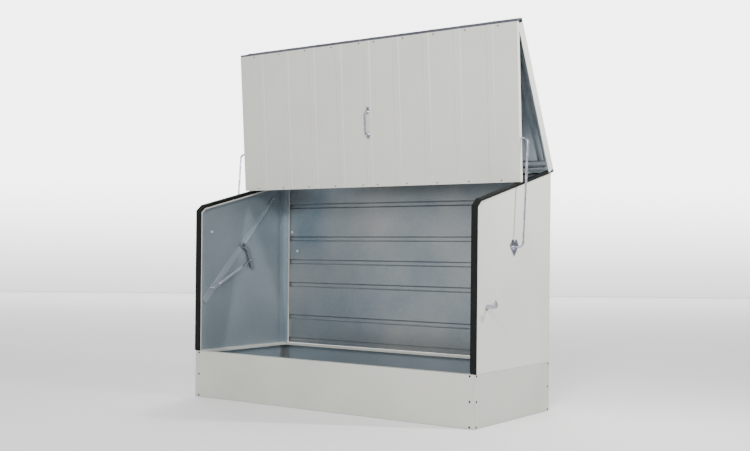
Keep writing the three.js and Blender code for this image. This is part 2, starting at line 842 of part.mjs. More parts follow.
function addDoorRails() {
  const face = sheet + seatGap - noseRadius;
  const hemFace = face + sheet;
  const channel = (from, to) => [
    [face + doorRailDepth, from],
    [face, from],
    [face, to],
    [face + doorRailDepth / 2, to],
  ];
  const topRail = alongX(
    folded(channel(-doorTopRailStart - doorRailWidth, -doorTopRailStart), -sheet),
    -doorRailHalfWidth, doorRailHalfWidth,
  );
  const lowerFoot = seatGap - doorHeight;
  const bottomRail = alongX(
    folded(channel(lowerFoot, lowerFoot + doorRailWidth), -sheet),
    -doorRailHalfWidth, doorRailHalfWidth,
  ).translate(0, hemFace - face, 0);
  add(door, 'door_top_rail', topRail, galvanised);
  add(door, 'door_bottom_rail', bottomRail, galvanised);
  const upright = folded([
    [doorRailHalfWidth, face + doorRailDepth],
    [doorRailHalfWidth, face],
    [doorRailHalfWidth - doorRailWidth, face],
    [doorRailHalfWidth - doorRailWidth, face + doorRailDepth / 2],
  ], -sheet);
  const uprightFoot = lowerFoot + doorRailWidth + seatGap;
  const uprightTop = -doorTopRailStart - doorRailWidth - seatGap;
  addPair(door, 'door_side_rail', alongZ(upright, uprightFoot, uprightTop), galvanised);
}

function addDoorHandle() {
  const face = -noseRadius - swageDepth - seatGap;
  const reach = face - handleStandOff;
  const half = handleGripSpacing / 2;
  const bow = rounded([[face, -half], [reach, -half], [reach, half], [face, half]], handleBend);
  const grip = tube(bow.map(([y, z]) => [0, y, z]), handleRadius, rodSides, axisX);
  const feet = [-1, 1].map((end) => {
    const middle = end * (handleScrewSpacing / 2 - handleFootInset);
    const straight = handleFootLength / 2 - handleFootWidth / 2;
    const outline = [
      ...arc([0, middle + straight], handleFootWidth / 2, 0, Math.PI, rodSides / 2),
      ...arc([0, middle - straight], handleFootWidth / 2, Math.PI, 2 * Math.PI, rodSides / 2),
    ];
    return alongY(outline, face - plate, face);
  });
  const handle = joined(grip, ...feet).translate(0, 0, -handleDrop);
  add(door, 'door_handle', handle, zincPlate);
}

// Links, in their own frame: the wall pivot is the origin and y runs to the door's pin.

function linkBendPoints(centreX, centreY, from, to) {
  return arc([centreX, centreY], linkBend, from, to, 2 * cornerSteps).map(([x, y]) => [x, y, 0]);
}

function addLinks() {
  const corner = linkX - linkBend;
  const doorEnd = doorHalfWidth - sheet - seatGap - nutHeight - seatGap;
  const points = [
    [legEnd, 0, 0],
    ...linkBendPoints(corner, linkBend, -Math.PI / 2, 0),
    ...linkBendPoints(corner, linkLength - linkBend, 0, Math.PI / 2),
    [doorEnd, linkLength, 0],
  ];
  addPair(links, 'link_rod', tube(points, rodRadius, rodSides, axisZ), zincPlate);

  const nut = (y, from) => cut(
    discX([y, 0], nutRadius, from, from + nutHeight, nutSides),
    discX([y, 0], rodRadius + seatGap, from - cutOverrun, from + nutHeight + cutOverrun, rodSides),
  );
  addPair(links, 'link_wall_nut', nut(0, legEnd), darkSteel);
  addPair(links, 'link_door_nut', nut(linkLength, doorEnd + seatGap), darkSteel);

  // The crank is a curved plate on the rod's inner end, with a stud at its tip.
  const onLink = (y, z) => alongAngle([0, 0], Math.hypot(y, z), Math.atan2(z, y) - linkOpenAngle);
  const pin = onLink(crankPinBack, -crankPinDrop);
  const tip = onLink(crankTipBack, -crankTipDrop);
  const spine = rounded([[0, 0], onLink(crankKneeBack, -crankKneeDrop), pin, tip], crankBend);
  const band = [
    ...offsetPath(spine, crankHalfWidth),
    ...offsetPath(spine, -crankHalfWidth).reverse(),
  ];
  const inner = crankX - crankThickness;
  const crank = cut(
    joined(
      alongX(band, inner, crankX),
      discX([0, 0], crankHubRadius, inner, crankX),
      discX(tip, crankHalfWidth, inner, crankX),
      discX(pin, crankStudRadius, inner - crankStudLength, crankX, rodSides),
    ),
    discX([0, 0], rodRadius + seatGap, inner - cutOverrun, crankX + cutOverrun, rodSides),
  );
  addPair(links, 'crank', crank, darkSteel);
}

// Brackets on the side walls

function addPivotBrackets() {
  const [y, z] = linkPivot;
  const outline = [
    [0, -bracketPointDrop],
    [bracketHalfWidth, bracketShoulderRise],
    [bracketWingOuter, bracketWingRise],
    [bracketWingInner, bracketWingRise],
    [0, bracketNotchRise],
    [-bracketWingInner, bracketWingRise],
    [-bracketWingOuter, bracketWingRise],
    [-bracketHalfWidth, bracketShoulderRise],
  ].map(([a, b]) => [y + a, z + b]);
  const from = halfWidth + seatGap;
  const bracket = cut(
    joined(
      alongX(outline, from, from + plate),
      discX([y, z], bossRadius, from, from + plate + bossHeight),
    ),
    discX([y, z], rodRadius + rodClearance, from - cutOverrun, from + plate + bossHeight + cutOverrun),
  );
  addPair(cabinet, 'pivot_bracket', bracket, zincPlate);
}

function addBraceBars() {
  const place = (points) => points.map((point) => onBrace(...point));
  const outer = wallInner - seatGap;
  const inner = outer - braceThickness;
  const bar = place([
    [-braceDown, -braceFootWidth / 2],
    [-braceFootEnd, -braceFootWidth / 2],
    [braceWidth - braceFootEnd, -braceWidth / 2],
    [braceUp, -braceWidth / 2],
    [braceUp, braceWidth / 2],
    [braceWidth - braceFootEnd, braceWidth / 2],
    [-braceFootEnd, braceFootWidth / 2],
    [-braceDown, braceFootWidth / 2],
  ]);
  const lips = [-1, 1].map((side) => {
    const edge = side * braceWidth / 2;
    const start = rodRadius + braceWidth;
    return alongX(place([
      [start, edge - side * sheet],
      [braceUp, edge - side * sheet],
      [braceUp, edge],
      [start, edge],
    ]), inner - braceLip, outer);
  });
  const hole = discX(linkPivot, rodRadius + rodClearance, inner - cutOverrun, outer + cutOverrun);
  addPair(cabinet, 'brace_bar', cut(joined(alongX(bar, inner, outer), ...lips), hole), galvanised);

  // The spring's anchor is a plate on the bar's foot, with a headed stud.
  const start = -braceDown;
  const middle = anchorAcross / 2;
  const anchorPlate = alongX(place([
    [start, middle - anchorPlateWidth / 2],
    [start + anchorPlateLength, middle - anchorPlateWidth / 2],
    [start + anchorPlateLength, middle + anchorPlateWidth / 2],
    [start, middle + anchorPlateWidth / 2],
  ]), inner - seatGap - plate, inner - seatGap);
  const headX = springX - wireRadius - seatGap;
  const anchor = joined(
    anchorPlate,
    discX(springAnchor, anchorStudRadius, headX - plate, inner - seatGap, rodSides),
    discX(springAnchor, springRadius, headX - plate, headX, rodSides),
  );
  addPair(cabinet, 'spring_anchor', anchor, darkSteel);
}

// The keeper is a hooked strip that the closed link lies in. Its outline is drawn as [out, up],
// where up points away from the closed rod's seat, and its lip is pierced for a padlock.
function addRodKeepers() {
  const seat = rodRadius + rodClearance;
  const foot = halfWidth + seatGap;
  const lip = linkX + seat;
  const outline = folded([
    [foot, -seat - keeperFoot],
    [foot, -seat - plate],
    [lip + plate, -seat - plate],
    [lip + plate, keeperLip],
  ], -plate);
  const eye = new THREE.CylinderGeometry(keeperEyeRadius, keeperEyeRadius, 2 * (plate + cutOverrun), rodSides)
    .rotateZ(Math.PI / 2).translate(lip, keeperEyeRise, 0);
  const strip = alongZ(outline, -keeperWidth / 2, keeperWidth / 2);
  const up = linkClosedAngle - Math.PI / 2;
  const place = new THREE.Matrix4().makeBasis(
    axisX,
    new THREE.Vector3(0, Math.cos(up), Math.sin(up)),
    new THREE.Vector3(0, Math.cos(linkClosedAngle), Math.sin(linkClosedAngle)),
  ).setPosition(0, ...alongAngle(linkPivot, keeperReach, linkClosedAngle));
  addPair(cabinet, 'rod_keeper', cut(strip, eye).applyMatrix4(place), zincPlate);
}

// Springs, in their own frame: the anchor is the origin and y runs to the crank's stud.

function springLine() {
  const endLength = springEndLoop + 2 * wireRadius + seatGap;
  const springLength = springReach - springHookLength - endLength - drawRodLength;
  const pitch = springLength / springCurls;
  const hookCentre = springRadius - anchorStudRadius - wireRadius - seatGap;
  const turned = (centre, radius, angles) => arc([centre, 0], radius, ...angles.map(radians), 2 * curlSteps)
    .map(([y, z]) => [springX, y, z]);
  const curls = Array.from({ length: springCurls * curlSteps + 1 }, (_, i) => {
    const turn = 2 * Math.PI * i / curlSteps;
    return [
      springX + springRadius * Math.sin(turn),
      springHookLength + pitch * i / curlSteps,
      -springRadius * Math.cos(turn),
    ];
  });
  const endCentre = springHookLength + springLength + endLength;
  const points = [
    ...turned(hookCentre, springRadius, springHookAngles),
    ...curls,
    ...turned(endCentre, springEndLoop, springLoopAngles),
  ];
  return { points, endCentre };
}

// The least gap between stretches of the wire that aren't neighbours along it.
function leastGap(points, skip) {
  let least = Infinity;
  points.forEach((p, i) => {
    for (let j = i + skip; j < points.length; j += 1) {
      const q = points[j];
      least = Math.min(least, Math.hypot(p[0] - q[0], p[1] - q[1], p[2] - q[2]));
    }
  });
  return least - 2 * wireRadius;
}

function addSprings() {
  const { points, endCentre } = springLine();
  console.log(`least gap of the spring wire to itself: ${leastGap(points, curlSteps - 2).toFixed(2)} mm`);
  addPair(springs, 'spring', tube(points, wireRadius, wireSides, axisX), springSteel);

  // The draw rod has a flat, pierced end for the spring's loop and a flat eye beside the crank's stud.
  const holeY = endCentre + springEndLoop + wireHoleRadius - wireRadius - seatGap;
  const plateStart = endCentre - wireRadius;
  const plateEnd = holeY + drawRodPlateTip;
  const flat = block(
    [springX - drawRodPlateHalfWidth, plateStart, -drawRodPlate / 2],
    [springX + drawRodPlateHalfWidth, plateEnd, drawRodPlate / 2],
  );
  const holeLength = drawRodPlate + 2 * cutOverrun;
  const hole = new THREE.CylinderGeometry(wireHoleRadius, wireHoleRadius, holeLength, rodSides)
    .rotateX(Math.PI / 2).translate(springX, holeY, 0);
  const rod = tube(
    [[springX, plateEnd - drawRodPlate, 0], [springX, springReach, 0]], drawRodRadius, rodSides, axisX,
  );
  const eyeOuter = crankX - crankThickness - crankStudLength - seatGap;
  const eye = discX([springReach, 0], drawRodEyeRadius, springX - drawRodRadius, eyeOuter);
  addPair(springs, 'draw_rod', joined(cut(flat, hole), rod, eye), zincPlate);
}

addPlinth();
addCornerBrackets();
addFloor();
addSideWalls();
addEdgeTrims();
addHingeBases(addRearWall());
addPivotBrackets();
addBraceBars();
addRodKeepers();
addRoof();
addHingeStraps();
addDoorPanel();
addDoorNose();
addDoorRails();
addDoorHandle();
addLinks();
addSprings();

export default locker;
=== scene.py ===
"""Sheet steel locker, open: finishes, fasteners, seal, floor, lights and camera. Metres."""
import math

import bpy
from mathutils import Matrix, Vector


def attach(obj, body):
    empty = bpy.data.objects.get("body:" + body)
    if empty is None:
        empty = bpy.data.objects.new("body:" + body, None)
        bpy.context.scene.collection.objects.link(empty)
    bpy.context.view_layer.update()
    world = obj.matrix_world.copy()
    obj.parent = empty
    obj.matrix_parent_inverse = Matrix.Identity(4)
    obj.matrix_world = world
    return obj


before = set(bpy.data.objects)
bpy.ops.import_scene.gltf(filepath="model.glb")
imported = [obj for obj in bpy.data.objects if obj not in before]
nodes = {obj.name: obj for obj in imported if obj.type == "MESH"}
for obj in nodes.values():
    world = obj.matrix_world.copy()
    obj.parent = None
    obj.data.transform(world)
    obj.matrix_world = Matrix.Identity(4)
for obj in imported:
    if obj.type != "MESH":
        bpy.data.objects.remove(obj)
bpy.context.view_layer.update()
MM = 0.001

# Sizes and places of the model, which the painted faces and the screws follow
HALF_WIDTH = 0.960
HALF_DEPTH = 0.410
SHEET = 0.0012
PLINTH_HEIGHT = 0.271
PLINTH_FLANGE = 0.0144
WALL_LIP_INNER_X = 0.940
POST_LEG_X = 0.920
REAR_WALL_FACE_Y = 0.3992
SWAGE_PITCH = 0.202
SWAGES_EACH_SIDE = 4
DOOR_HEIGHT = 0.839
DOOR_BEAD = Vector((0, -0.0152996, 2.0860478))
DOOR_TURN = Matrix.Rotation(math.radians(3.97), 3, "X")
DOOR_FACE = 0.014
HANDLE_FOOT_FACE = 0.0203
ROOF_LENGTH = 0.8717
ROOF_HINGE = Vector((0, 0.4187, 1.3286761))
ROOF_TURN = Matrix.Rotation(math.radians(116.8), 3, "X")
ROOF_FACE = 0.010
RAIL_TOP_Y = 0.4026
RAIL_TOP_Z = 1.3146

DOOR_OUT = DOOR_TURN @ Vector((0, -1, 0))
ROOF_OUT = ROOF_TURN @ Vector((0, 0, -1))


def linear(hex_colour):
    """Turns an sRGB hex colour into the linear values that a shader takes."""
    channels = [int(hex_colour[i:i + 2], 16) / 255 for i in (1, 3, 5)]
    return (*[c / 12.92 if c <= 0.04045 else ((c + 0.055) / 1.055) ** 2.4 for c in channels], 1.0)


# Nodes

def add_node(tree, kind, settings=None, **links):
    """Adds a node. A link is a value or a (node, output) pair, and i0 is the node's first input.

    The setting "stops" is a colour ramp's two (position, colour) pairs.
    """
    node = tree.nodes.new(kind)
    for name, value in (settings or {}).items():
        if name == "stops":
            for element, (position, colour) in zip(node.color_ramp.elements, value):
                element.position = position
                element.color = linear(colour)
        else:
            setattr(node, name, value)
    for name, value in links.items():
        key = int(name[1:]) if name[0] == "i" and name[1:].isdigit() else name.replace("_", " ")
        socket = node.inputs[key]
        if isinstance(value, tuple) and value and isinstance(value[0], bpy.types.Node):
            tree.links.new(value[0].outputs[value[1]], socket)
        else:
            socket.default_value = value
    return node


def new_material(name):
    """An empty material, its node tree and the coordinates that its patterns lie in."""
    material = bpy.data.materials.new(name)
    material.use_nodes = True
    tree = material.node_tree
    tree.nodes.clear()
    return material, tree, add_node(tree, "ShaderNodeTexCoord")


def set_surface(tree, **surface):
    """Ends a material in one shader. What is the same all over it is set on the shader's own socket."""
    shader = add_node(tree, "ShaderNodeBsdfPrincipled", **surface)
    add_node(tree, "ShaderNodeOutputMaterial", Surface=(shader, "BSDF"))


# Tests for the painted side of a folded sheet. Each gives 1 on paint.

LOOKS_THERE = 0.3    # Cosine between a face and a direction, from which the face looks along it


def any_of(tree, *tests):
    total = tests[0]
    for test in tests[1:]:
        total = add_node(tree, "ShaderNodeMath", {"operation": "MAXIMUM"}, i0=(total, 0), i1=(test, 0))
    return total


def all_of(tree, *tests):
    total = tests[0]
    for test in tests[1:]:
        total = add_node(tree, "ShaderNodeMath", {"operation": "MULTIPLY"}, i0=(total, 0), i1=(test, 0))
    return total


def looks_along(tree, coords, direction):
    cosine = add_node(
        tree, "ShaderNodeVectorMath", {"operation": "DOT_PRODUCT"},
        i0=(coords, "Normal"), i1=tuple(direction),
    )
    return add_node(
        tree, "ShaderNodeMath", {"operation": "GREATER_THAN"},
        i0=(cosine, "Value"), i1=LOOKS_THERE,
    )


def looks_sideways(tree, coords, sense):
    """1 where the face looks away from the middle of the locker, or towards it for a negative sense."""
    normal = add_node(tree, "ShaderNodeSeparateXYZ", Vector=(coords, "Normal"))
    place = add_node(tree, "ShaderNodeSeparateXYZ", Vector=(coords, "Object"))
    side = add_node(tree, "ShaderNodeMath", {"operation": "SIGN"}, i0=(place, "X"))
    outward = add_node(tree, "ShaderNodeMath", {"operation": "MULTIPLY"}, i0=(normal, "X"), i1=(side, 0))
    sensed = add_node(tree, "ShaderNodeMath", {"operation": "MULTIPLY"}, i0=(outward, 0), i1=float(sense))
    return add_node(tree, "ShaderNodeMath", {"operation": "GREATER_THAN"}, i0=(sensed, 0), i1=LOOKS_THERE)


def from_middle(tree, coords, axis, comparison, limit):
    """1 where a point's distance from the middle along an axis passes the comparison with a limit."""
    place = add_node(tree, "ShaderNodeSeparateXYZ", Vector=(coords, "Object"))
    distance = add_node(tree, "ShaderNodeMath", {"operation": "ABSOLUTE"}, i0=(place, axis))
    return add_node(tree, "ShaderNodeMath", {"operation": comparison}, i0=(distance, 0), i1=limit)


def wall_paint(tree, coords):
    """The outside, and the folded lip that frames the opening."""
    lip = all_of(
        tree, looks_sideways(tree, coords, -1),
        from_middle(tree, coords, "X", "LESS_THAN", WALL_LIP_INNER_X),
    )
    return any_of(
        tree, looks_sideways(tree, coords, 1), lip,
        looks_along(tree, coords, (0, -1, 0)), looks_along(tree, coords, (0, 0, 1)),
    )


def plinth_paint(tree, coords):
    """The outside, and the flange on top."""
    return any_of(
        tree, from_middle(tree, coords, "X", "GREATER_THAN", HALF_WIDTH - SHEET / 2),
        from_middle(tree, coords, "Y", "GREATER_THAN", HALF_DEPTH - SHEET / 2),
        from_middle(tree, coords, "Z", "GREATER_THAN", PLINTH_HEIGHT - PLINTH_FLANGE),
    )


def post_paint(tree, coords):
    """The edge that shows as a pale line in the rear corners."""
    return all_of(
        tree, looks_sideways(tree, coords, -1),
        from_middle(tree, coords, "X", "LESS_THAN", POST_LEG_X),
    )


def leaf_paint(direction):
    """The outside of the door or the roof, with its side flanges."""
    def paint(tree, coords):
        return any_of(tree, looks_sideways(tree, coords, 1), looks_along(tree, coords, direction))
    return paint


# Finishes

BACK_LIGHT, BACK_DARK = "#adb8bf", "#98a4ac"
BACK_ROUGHNESS = 0.36
BACK_METALLIC = 0.7
SHEET_METALLIC = 0.75
SHEET_SPANGLE_MM = 14
CRYSTAL_SHARE = 0.07
CRYSTAL_GLOSS = (-0.012, 0.018)
COAT_ROUGHNESS = 0.38
COAT_GLOSS_DRIFT = 0.04
PLATE_GLOSS = (-0.05, 0.08)


def zinc_crystals(tree, coords, light, dark, roughness, spangle_mm):
    """Tone and gloss of a hot-dip zinc coat.

    Broad clouds of a warmer and a cooler grey, and crystals that each reflect a little differently.
    The clouds are about 500 mm wide, and the crystals' edges wander by up to 8 mm.
    """
    warp = add_node(
        tree, "ShaderNodeTexNoise",
        Vector=(coords, "Object"), Scale=1 / (30 * MM), Detail=2.0,
    )
    bend = add_node(
        tree, "ShaderNodeVectorMath", {"operation": "SCALE"},
        i0=(warp, "Color"), Scale=8 * MM,
    )
    place = add_node(
        tree, "ShaderNodeVectorMath", {"operation": "ADD"},
        i0=(coords, "Object"), i1=(bend, "Vector"),
    )
    crystals = add_node(
        tree, "ShaderNodeTexVoronoi", {"feature": "F1"},
        Vector=(place, "Vector"), Scale=1 / (spangle_mm * MM),
    )
    key = add_node(tree, "ShaderNodeSeparateColor", Color=(crystals, "Color"))
    clouds = add_node(
        tree, "ShaderNodeTexNoise",
        Vector=(coords, "Object"), Scale=1 / (500 * MM), Detail=4.0,
    )
    mixed = add_node(
        tree, "ShaderNodeMath", {"operation": "MULTIPLY_ADD"},
        i0=(key, "Red"), i1=CRYSTAL_SHARE, i2=(clouds, "Fac"),
    )
    tone = add_node(
        tree, "ShaderNodeValToRGB", {"stops": [(0.32, dark), (0.78, light)]},
        Fac=(mixed, "Value"),
    )
    gloss = add_node(
        tree, "ShaderNodeMapRange",
        Value=(key, "Green"), To_Min=roughness + CRYSTAL_GLOSS[0], To_Max=roughness + CRYSTAL_GLOSS[1],
    )
    return tone, gloss


def galvanised_steel(name, light, dark, roughness, spangle_mm=SHEET_SPANGLE_MM):
    """Hot-dip galvanised steel: a hazy grey mirror with soft clouds in it."""
    material, tree, coords = new_material(name)
    tone, gloss = zinc_crystals(tree, coords, light, dark, roughness, spangle_mm)
    set_surface(tree, Base_Color=(tone, "Color"), Roughness=(gloss, "Result"), Metallic=SHEET_METALLIC)
    return material


def powder_coat(name, painted_faces, colour, shade):
    """Zinc-coated steel with baked polyester powder on its show side and bare zinc behind.

    The powder gives a soft satin sheen, and the sheen and the tone drift a little across a panel.
    """
    material, tree, coords = new_material(name)
    mask = painted_faces(tree, coords)
    drift = add_node(
        tree, "ShaderNodeTexNoise",
        Vector=(coords, "Object"), Scale=1 / (450 * MM), Detail=3.0, Roughness=0.5,
    )
    coat = add_node(
        tree, "ShaderNodeValToRGB", {"stops": [(0.3, shade), (0.7, colour)]},
        Fac=(drift, "Fac"),
    )
    coat_gloss = add_node(
        tree, "ShaderNodeMapRange",
        Value=(drift, "Fac"), From_Min=0.3, From_Max=0.7,
        To_Min=COAT_ROUGHNESS + COAT_GLOSS_DRIFT, To_Max=COAT_ROUGHNESS - COAT_GLOSS_DRIFT,
    )
    zinc, zinc_gloss = zinc_crystals(tree, coords, BACK_LIGHT, BACK_DARK, BACK_ROUGHNESS, SHEET_SPANGLE_MM)
    # A Mix node's numbers are its inputs 2 and 3 and output 0, and its colours inputs 6 and 7 and output 2
    tone = add_node(
        tree, "ShaderNodeMix", {"data_type": "RGBA"},
        i0=(mask, 0), i6=(zinc, "Color"), i7=(coat, "Color"),
    )
    gloss = add_node(
        tree, "ShaderNodeMix", {"data_type": "FLOAT"},
        i0=(mask, 0), i2=(zinc_gloss, "Result"), i3=(coat_gloss, "Result"),
    )
    metal = add_node(
        tree, "ShaderNodeMix", {"data_type": "FLOAT"},
        i0=(mask, 0), i2=BACK_METALLIC, i3=0.0,
    )
    # Orange peel, about 1.6 mm from crest to crest
    peel = add_node(
        tree, "ShaderNodeTexNoise",
        Vector=(coords, "Object"), Scale=1 / (1.6 * MM), Detail=2.0,
    )
    bump = add_node(
        tree, "ShaderNodeBump",
        Height=(peel, "Fac"), Strength=0.12, Distance=0.12 * MM,
    )
    set_surface(
        tree, Base_Color=(tone, 2), Roughness=(gloss, 0), Metallic=(metal, 0), IOR=1.5,
        Normal=(bump, "Normal"),
    )
    return material


def bright_zinc(name, colour, polished, roughness):
    """Bright zinc plate on drawn steel: near mirror, with patches that have dulled.

    The drawing lines are about 1.2 mm apart, coarser than real ones, so that they show.
    """
    material, tree, coords = new_material(name)
    haze = add_node(
        tree, "ShaderNodeTexNoise",
        Vector=(coords, "Object"), Scale=1 / (20 * MM), Detail=4.0,
    )
    tone = add_node(
        tree, "ShaderNodeValToRGB", {"stops": [(0.3, colour), (0.75, polished)]},
        Fac=(haze, "Fac"),
    )
    gloss = add_node(
        tree, "ShaderNodeMapRange",
        Value=(haze, "Fac"), From_Min=0.3, From_Max=0.7,
        To_Min=roughness + PLATE_GLOSS[0], To_Max=roughness + PLATE_GLOSS[1],
    )
    lines = add_node(
        tree, "ShaderNodeTexNoise",
        Vector=(coords, "Object"), Scale=1 / (1.2 * MM), Detail=1.0,
    )
    bump = add_node(
        tree, "ShaderNodeBump",
        Height=(lines, "Fac"), Strength=0.08, Distance=0.1 * MM,
    )
    set_surface(
        tree, Base_Color=(tone, "Color"), Roughness=(gloss, "Result"), Metallic=1.0,
        Normal=(bump, "Normal"),
    )
    return material


def moulded_rubber(name, colour, dusty):
    """Extruded EPDM: matt black that drinks the light, with a bloom of dust and a fine grain."""
    material, tree, coords = new_material(name)
    bloom = add_node(
        tree, "ShaderNodeTexNoise",
        Vector=(coords, "Object"), Scale=1 / (60 * MM), Detail=5.0,
    )
    tone = add_node(
        tree, "ShaderNodeValToRGB", {"stops": [(0.4, colour), (0.8, dusty)]},
        Fac=(bloom, "Fac"),
    )
    grain = add_node(
        tree, "ShaderNodeTexNoise",
        Vector=(coords, "Object"), Scale=1 / (0.8 * MM), Detail=1.0,
    )
    bump = add_node(
        tree, "ShaderNodeBump",
        Height=(grain, "Fac"), Strength=0.15, Distance=0.1 * MM,
    )
    set_surface(
        tree, Base_Color=(tone, "Color"), Roughness=0.8, IOR=1.45, Specular_IOR_Level=0.3,
        Normal=(bump, "Normal"),
    )
    return material


CREAM = "#d2d2ca", "#cbcbc3"
# Painted shade: the plinth's cream is a darker copy of the walls' cream, for the dimmer light low down
PLINTH_CREAM_PAINTED_DARKER = "#c2c2ba", "#b8b9b1"
WALL = powder_coat("cream_powder_coat_on_walls", wall_paint, *CREAM)
PLINTH = powder_coat("cream_powder_coat_on_plinth_with_painted_shade", plinth_paint, *PLINTH_CREAM_PAINTED_DARKER)
POST = powder_coat("cream_powder_coat_on_posts", post_paint, *CREAM)
DOOR = powder_coat("cream_powder_coat_on_door", leaf_paint(DOOR_OUT), *CREAM)
ROOF = powder_coat("cream_powder_coat_on_roof", leaf_paint(ROOF_OUT), *CREAM)
GALVANISED = galvanised_steel("galvanised_steel_sheet", "#a9a9a8", "#7f8c95", 0.30)
# Painted shade: the nose strip's zinc is darker and bluer than the sheet's, for the shade it lies in
NOSE_TRIM_PAINTED_DARK = galvanised_steel("galvanised_steel_trim_with_painted_shade", "#72737f", "#5c5d69", 0.34)
ZINC = bright_zinc("bright_zinc_plated_steel", "#9a9cae", "#d8dae3", 0.2)
# Painted highlight: the bolts' zinc is a near-white copy of the bright zinc, for the glints on their heads
BOLT_ZINC_PAINTED_BRIGHT = bright_zinc("bright_zinc_plated_bolt_with_painted_highlight", "#e4e5ee", "#f6f6fa", 0.5)
# Painted highlight: the spring wire is a lighter copy of the bright zinc, for the bright line along it
SPRING_WIRE_PAINTED_LIGHT = bright_zinc("drawn_spring_wire_with_painted_highlight", "#cfd1da", "#eeeef4", 0.4)
RUBBER = moulded_rubber("extruded_rubber", "#070a09", "#0e1311")
# Plated and blackened small parts, with crystals of a few millimetres
DARK = galvanised_steel("black_oxide_steel", "#54575d", "#3b3d42", 0.42, 6)
# Painted highlight: the bar's zinc is paler than the other plated parts, for the bright lines along it
PLATE = galvanised_steel("zinc_plated_bar_painted_pale_for_highlight", "#c8d0d5", "#b5bfc6", 0.34, 4)
LEVER = galvanised_steel("dull_zinc_plated_lever", "#9aa1a7", "#878e94", 0.36, 4)
SCREW = galvanised_steel("dulled_zinc_screw", "#6d7074", "#55575b", 0.45, 5)
BASE_SCREW = galvanised_steel("blackened_screw", "#3d3f42", "#2c2e30", 0.5, 5)

# The first line whose beginnings fit a node's name gives its finish, and the last line takes the rest
FINISHES = [
    (("plinth_",), PLINTH),
    (("side_wall",), WALL),
    (("rear_post",), POST),
    (("door_panel",), DOOR),
    (("roof_panel",), ROOF),
    (("edge_trim",), RUBBER),
    (("door_nose",), NOSE_TRIM_PAINTED_DARK),
    (("link_wall_nut", "link_door_nut"), DARK),
    (("brace_bar", "spring_anchor"), PLATE),
    (("crank",), LEVER),
    (("spring_left", "spring_right"), SPRING_WIRE_PAINTED_LIGHT),
    (("link_rod", "draw_rod", "pivot_bracket", "rod_keeper", "hinge_", "door_handle"), ZINC),
    (("",), GALVANISED),
]

for name, node in nodes.items():
    finish = next(material for starts, material in FINISHES if name.startswith(starts))
    node.data.materials.clear()
    node.data.materials.append(finish)


# Screws: one low-poly head, put on a list of points by Geometry Nodes

# Shares of a head's radius and height, from its foot over the crown into the drive recess
HEAD_PROFILE = [(1.0, 0.0), (1.0, 0.35), (0.88, 0.75), (0.55, 1.0), (0.38, 1.0), (0.3, 0.55)]
SEAT = 0.1 * MM    # Air under a head or a seal, so that no two faces share a plane


def round_head(name, radius, height, sides):
    """A round head, flat below, with a crowned top and a drive recess."""
    around = [2 * math.pi * k / sides for k in range(sides)]
    points = [
        (radius * r * math.cos(angle), radius * r * math.sin(angle), height * h)
        for r, h in HEAD_PROFILE for angle in around
    ]
    last = (len(HEAD_PROFILE) - 1) * sides
    faces = [
        (i + k, i + (k + 1) % sides, i + sides + (k + 1) % sides, i + sides + k)
        for i in range(0, last, sides) for k in range(sides)
    ]
    faces.append(tuple(range(sides - 1, -1, -1)))
    faces.append(tuple(range(last, last + sides)))
    mesh = bpy.data.meshes.new(name)
    mesh.from_pydata(points, [], faces)
    mesh.update()
    return bpy.data.objects.new(name, mesh)


def scatter_tree():
    """Puts a head on each point, turned so that its crown looks along the point's own direction."""
    tree = bpy.data.node_groups.new("heads_on_points", "GeometryNodeTree")
    face = tree.interface
    face.new_socket("Points", in_out="INPUT", socket_type="NodeSocketGeometry")
    face.new_socket("Head", in_out="INPUT", socket_type="NodeSocketObject")
    face.new_socket("Finish", in_out="INPUT", socket_type="NodeSocketMaterial")
    face.new_socket("Mesh", in_out="OUTPUT", socket_type="NodeSocketGeometry")
    inputs = add_node(tree, "NodeGroupInput")
    head = add_node(tree, "GeometryNodeObjectInfo", Object=(inputs, "Head"))
    facing = add_node(tree, "GeometryNodeInputNamedAttribute", {"data_type": "FLOAT_VECTOR"}, Name="facing")
    turned = add_node(
        tree, "FunctionNodeAlignRotationToVector", {"axis": "Z"},
        Vector=(facing, "Attribute"),
    )
    placed = add_node(
        tree, "GeometryNodeInstanceOnPoints",
        Points=(inputs, "Points"), Instance=(head, "Geometry"), Rotation=(turned, "Rotation"),
    )
    real = add_node(tree, "GeometryNodeRealizeInstances", Geometry=(placed, "Instances"))
    dressed = add_node(
        tree, "GeometryNodeSetMaterial",
        Geometry=(real, "Geometry"), Material=(inputs, "Finish"),
    )
    add_node(tree, "NodeGroupOutput", Mesh=(dressed, "Geometry"))
    return tree


HEADS_ON_POINTS = scatter_tree()


def heads(name, places, head, finish, body):
    """One piece of many heads. Places are (point, direction) pairs, with the direction out of the sheet."""
    points = bpy.data.meshes.new(name + "_points")
    points.from_pydata([tuple(p) for p, _ in places], [], [])
    facing = points.attributes.new("facing", "FLOAT_VECTOR", "POINT")
    for i, (_, direction) in enumerate(places):
        facing.data[i].vector = direction
    carrier = bpy.data.objects.new(name + "_carrier", points)
    bpy.context.collection.objects.link(carrier)
    modifier = carrier.modifiers.new("heads", "NODES")
    modifier.node_group = HEADS_ON_POINTS
    sockets = {item.name: item.identifier for item in HEADS_ON_POINTS.interface.items_tree}
    modifier[sockets["Head"]] = head
    modifier[sockets["Finish"]] = finish
    evaluated = carrier.evaluated_get(bpy.context.evaluated_depsgraph_get())
    mesh = bpy.data.meshes.new_from_object(evaluated)
    mesh.name = name
    carrier.modifiers.clear()
    bpy.data.objects.remove(carrier)
    piece = bpy.data.objects.new(name, mesh)
    bpy.context.collection.objects.link(piece)
    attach(piece, body)


def door_point(x, outward, down):
    """A point in front of the door, from the bead down."""
    return DOOR_BEAD + DOOR_TURN @ Vector((x, -outward, -down))


